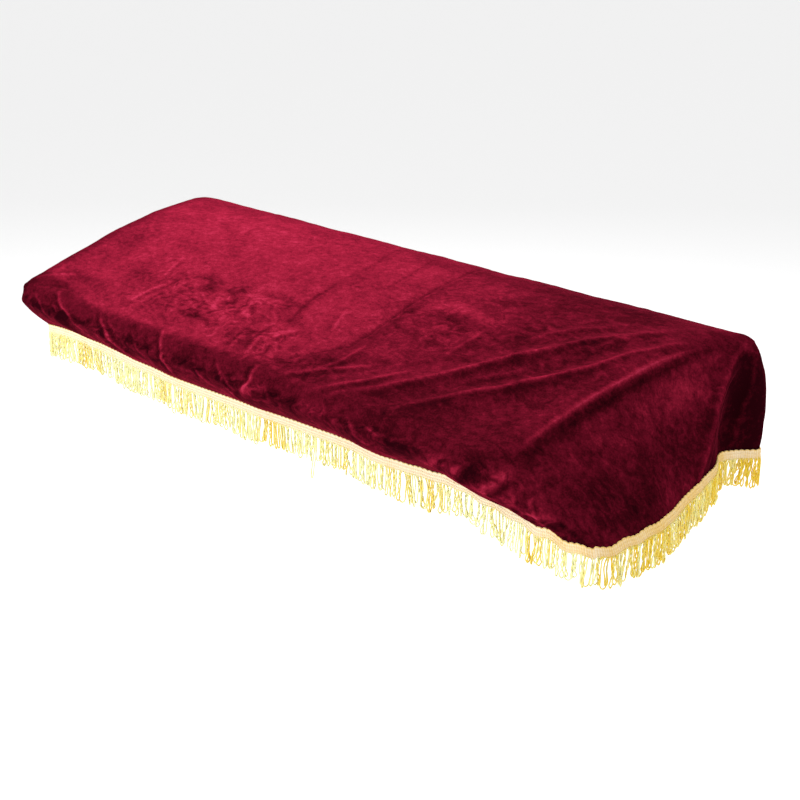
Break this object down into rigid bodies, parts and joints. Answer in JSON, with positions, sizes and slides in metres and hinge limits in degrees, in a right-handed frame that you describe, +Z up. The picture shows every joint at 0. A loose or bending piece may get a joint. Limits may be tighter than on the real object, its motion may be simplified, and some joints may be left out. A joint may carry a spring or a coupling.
{
  "type": "fitted piano cover",
  "caption": "Fitted velvet cover, an upside-down tray that fits over an instrument, slack at its right end, with a looped fringe round its hem.",
  "frame": {"origin": "on the underside of the raised back of the top, at the middle of the straight part of the length, where the cover bears on the instrument", "axes": "+X along the length, towards the slack end, +Y towards the taller back, +Z up"},
  "size_m": [1.0557, 0.4003, 0.2024],
  "materials": {
    "velvet": "wine-red velvet pile",
    "gold_fringe": "glossy rayon cord"
  },
  "bodies": {
    "root": {"velvet_cover": "velvet", "fringe_trim": "gold_fringe"}
  },
  "joints": []
}
